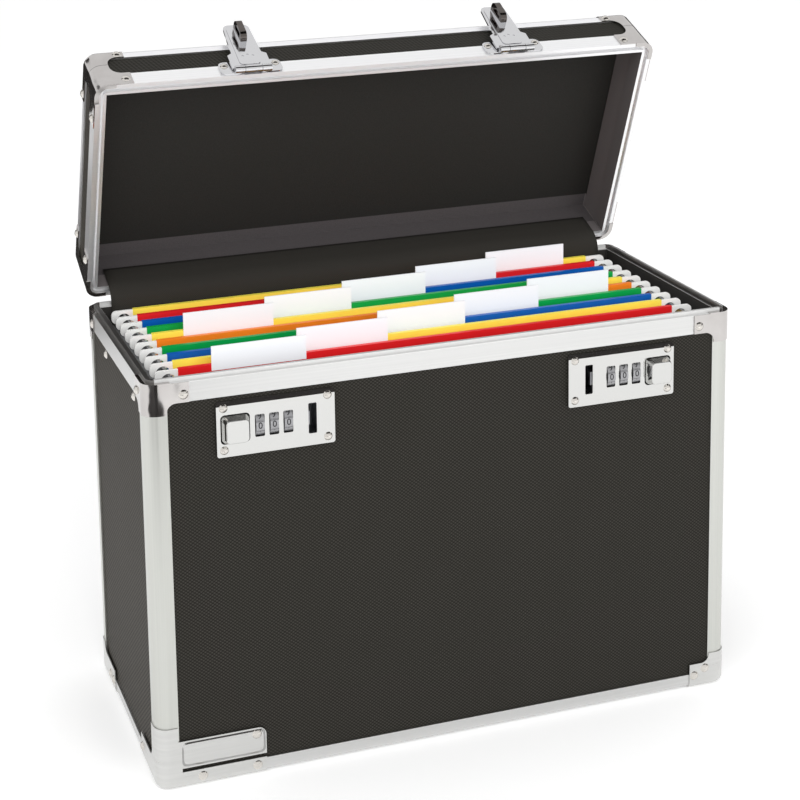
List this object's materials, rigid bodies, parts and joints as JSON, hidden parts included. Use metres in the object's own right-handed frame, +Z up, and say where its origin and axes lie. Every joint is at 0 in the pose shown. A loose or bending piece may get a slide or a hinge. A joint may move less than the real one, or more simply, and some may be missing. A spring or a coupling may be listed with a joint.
{
  "type": "portable file box",
  "caption": "Portable file box of black panels in aluminium edge profiles, with hinged lid, handle, hasps on combination locks and hanging files on rails.",
  "frame": {"origin": "on the floor under the middle of the whole outline with the lid leaning open, 16.5 mm behind the middle of the body", "axes": "+X to the right seen from the front, +Y to the back where the hinge is, +Z up"},
  "size_m": [0.3896, 0.2136, 0.444],
  "materials": {
    "black_foil_panel": "fine embossed diamond grain",
    "board_panel": "foil-covered board",
    "anodised_profile": "satin anodised",
    "cap_steel": "satin chrome",
    "rivet_steel": "polished",
    "lining": "matt foil",
    "flap_fabric": "coated woven fabric",
    "chrome": "polished",
    "zinc_steel": "zinc plated",
    "pin_steel": "bright",
    "dial_metal": "satin with dark numerals",
    "handle_plastic": "fine grain",
    "file_yellow": "satin",
    "file_red": "satin",
    "file_blue": "satin",
    "file_green": "satin",
    "file_orange": "satin"
  },
  "bodies": {
    "body": {"front_panel": "black_foil_panel", "back_panel": "black_foil_panel", "side_panels": "black_foil_panel", "bottom_panel": "board_panel", "upright_profiles": "anodised_profile", "base_profiles": "anodised_profile", "body_rim": "anodised_profile", "body_top_caps": "cap_steel", "base_caps": "cap_steel", "badge_cap": "cap_steel", "body_rivets": "rivet_steel", "body_lining": "lining", "file_rails": "zinc_steel", "lock_plates": "chrome", "lock_housings": "zinc_steel", "dial_shafts": "pin_steel", "hinge_body_leaf": "zinc_steel", "hinge_pin": "pin_steel", "flap_body_end": "flap_fabric"},
    "lid": {"lid_top_panel": "black_foil_panel", "lid_front_panel": "black_foil_panel", "lid_back_panel": "black_foil_panel", "lid_side_panels": "black_foil_panel", "lid_top_profiles": "anodised_profile", "lid_rim": "anodised_profile", "lid_corner_posts": "anodised_profile", "lid_top_caps": "cap_steel", "lid_rim_caps": "cap_steel", "lid_rivets": "rivet_steel", "lid_lining": "lining", "hinge_lid_leaf": "zinc_steel", "flap_lid_end": "flap_fabric", "hasp_bases": "chrome", "hasp_pins": "pin_steel", "handle_brackets": "chrome"},
    "hasp_left": {"hasp_left": "chrome"},
    "hasp_right": {"hasp_right": "chrome"},
    "lock_button_left": {"lock_button_left": "chrome"},
    "lock_button_right": {"lock_button_right": "chrome"},
    "lock_bolt_left": {"lock_bolt_left": "pin_steel"},
    "lock_bolt_right": {"lock_bolt_right": "pin_steel"},
    "handle": {"handle": "handle_plastic"},
    "dial_left_1": {"dial_left_1": "dial_metal"},
    "dial_left_2": {"dial_left_2": "dial_metal"},
    "dial_left_3": {"dial_left_3": "dial_metal"},
    "dial_right_1": {"dial_right_1": "dial_metal"},
    "dial_right_2": {"dial_right_2": "dial_metal"},
    "dial_right_3": {"dial_right_3": "dial_metal"},
    "file_01": {"file_01": "file_yellow"},
    "file_02": {"file_02": "file_red"},
    "file_03": {"file_03": "file_blue"},
    "file_04": {"file_04": "file_green"},
    "file_05": {"file_05": "file_yellow"},
    "file_06": {"file_06": "file_orange"},
    "file_07": {"file_07": "file_green"},
    "file_08": {"file_08": "file_blue"},
    "file_09": {"file_09": "file_yellow"},
    "file_10": {"file_10": "file_red"}
  },
  "joints": [
    {"name": "lid_hinge", "type": "hinge", "parent": "body", "child": "lid", "pos_m": [0, 0.071, 0.2566], "axis": [-1, 0, 0], "range_deg": [-67.5, 42.5]},
    {"name": "hasp_left_hinge", "type": "hinge", "parent": "lid", "child": "hasp_left", "pos_m": [-0.091, 0.00613, 0.41818], "axis": [-1, 0, 0], "range_deg": [-174, 0]},
    {"name": "lock_button_left_push", "type": "slide", "parent": "body", "child": "lock_button_left", "axis": [0, 1, 0], "range_m": [0, 0.0025], "stiffness_N_per_m": 400, "springref_m": -0.002},
    {"name": "lock_bolt_left_slide", "type": "slide", "parent": "body", "child": "lock_bolt_left", "axis": [-1, 0, 0], "range_m": [0, 0.0018]},
    {"name": "dial_left_1_turn", "type": "hinge", "parent": "body", "child": "dial_left_1", "pos_m": [-0.1062, -0.0935, 0.224], "axis": [1, 0, 0], "continuous": true},
    {"name": "dial_left_2_turn", "type": "hinge", "parent": "body", "child": "dial_left_2", "pos_m": [-0.115, -0.0935, 0.224], "axis": [1, 0, 0], "continuous": true},
    {"name": "dial_left_3_turn", "type": "hinge", "parent": "body", "child": "dial_left_3", "pos_m": [-0.1238, -0.0935, 0.224], "axis": [1, 0, 0], "continuous": true},
    {"name": "hasp_right_hinge", "type": "hinge", "parent": "lid", "child": "hasp_right", "pos_m": [0.091, 0.00613, 0.41818], "axis": [-1, 0, 0], "range_deg": [-174, 0]},
    {"name": "lock_button_right_push", "type": "slide", "parent": "body", "child": "lock_button_right", "axis": [0, 1, 0], "range_m": [0, 0.0025], "stiffness_N_per_m": 400, "springref_m": -0.002},
    {"name": "lock_bolt_right_slide", "type": "slide", "parent": "body", "child": "lock_bolt_right", "axis": [1, 0, 0], "range_m": [0, 0.0018]},
    {"name": "dial_right_1_turn", "type": "hinge", "parent": "body", "child": "dial_right_1", "pos_m": [0.1062, -0.0935, 0.224], "axis": [1, 0, 0], "continuous": true},
    {"name": "dial_right_2_turn", "type": "hinge", "parent": "body", "child": "dial_right_2", "pos_m": [0.115, -0.0935, 0.224], "axis": [1, 0, 0], "continuous": true},
    {"name": "dial_right_3_turn", "type": "hinge", "parent": "body", "child": "dial_right_3", "pos_m": [0.1238, -0.0935, 0.224], "axis": [1, 0, 0], "continuous": true},
    {"name": "handle_pivot", "type": "hinge", "parent": "lid", "child": "handle", "pos_m": [0, 0.07672, 0.36667], "axis": [1, 0, 0], "range_deg": [0, 180]},
    {"name": "file_01_lift", "type": "slide", "parent": "body", "child": "file_01", "axis": [0, 0, 1], "range_m": [0, 0.1]},
    {"name": "file_02_lift", "type": "slide", "parent": "body", "child": "file_02", "axis": [0, 0, 1], "range_m": [0, 0.1]},
    {"name": "file_03_lift", "type": "slide", "parent": "body", "child": "file_03", "axis": [0, 0, 1], "range_m": [0, 0.1]},
    {"name": "file_04_lift", "type": "slide", "parent": "body", "child": "file_04", "axis": [0, 0, 1], "range_m": [0, 0.1]},
    {"name": "file_05_lift", "type": "slide", "parent": "body", "child": "file_05", "axis": [0, 0, 1], "range_m": [0, 0.25]},
    {"name": "file_06_lift", "type": "slide", "parent": "body", "child": "file_06", "axis": [0, 0, 1], "range_m": [0, 0.25]},
    {"name": "file_07_lift", "type": "slide", "parent": "body", "child": "file_07", "axis": [0, 0, 1], "range_m": [0, 0.25]},
    {"name": "file_08_lift", "type": "slide", "parent": "body", "child": "file_08", "axis": [0, 0, 1], "range_m": [0, 0.25]},
    {"name": "file_09_lift", "type": "slide", "parent": "body", "child": "file_09", "axis": [0, 0, 1], "range_m": [0, 0.25]},
    {"name": "file_10_lift", "type": "slide", "parent": "body", "child": "file_10", "axis": [0, 0, 1], "range_m": [0, 0.25]}
  ],
  "couplings": [
    {"joint": "lock_bolt_left_slide", "follows": "lock_button_left_push", "ratio": 0.72},
    {"joint": "lock_bolt_right_slide", "follows": "lock_button_right_push", "ratio": 0.72}
  ]
}
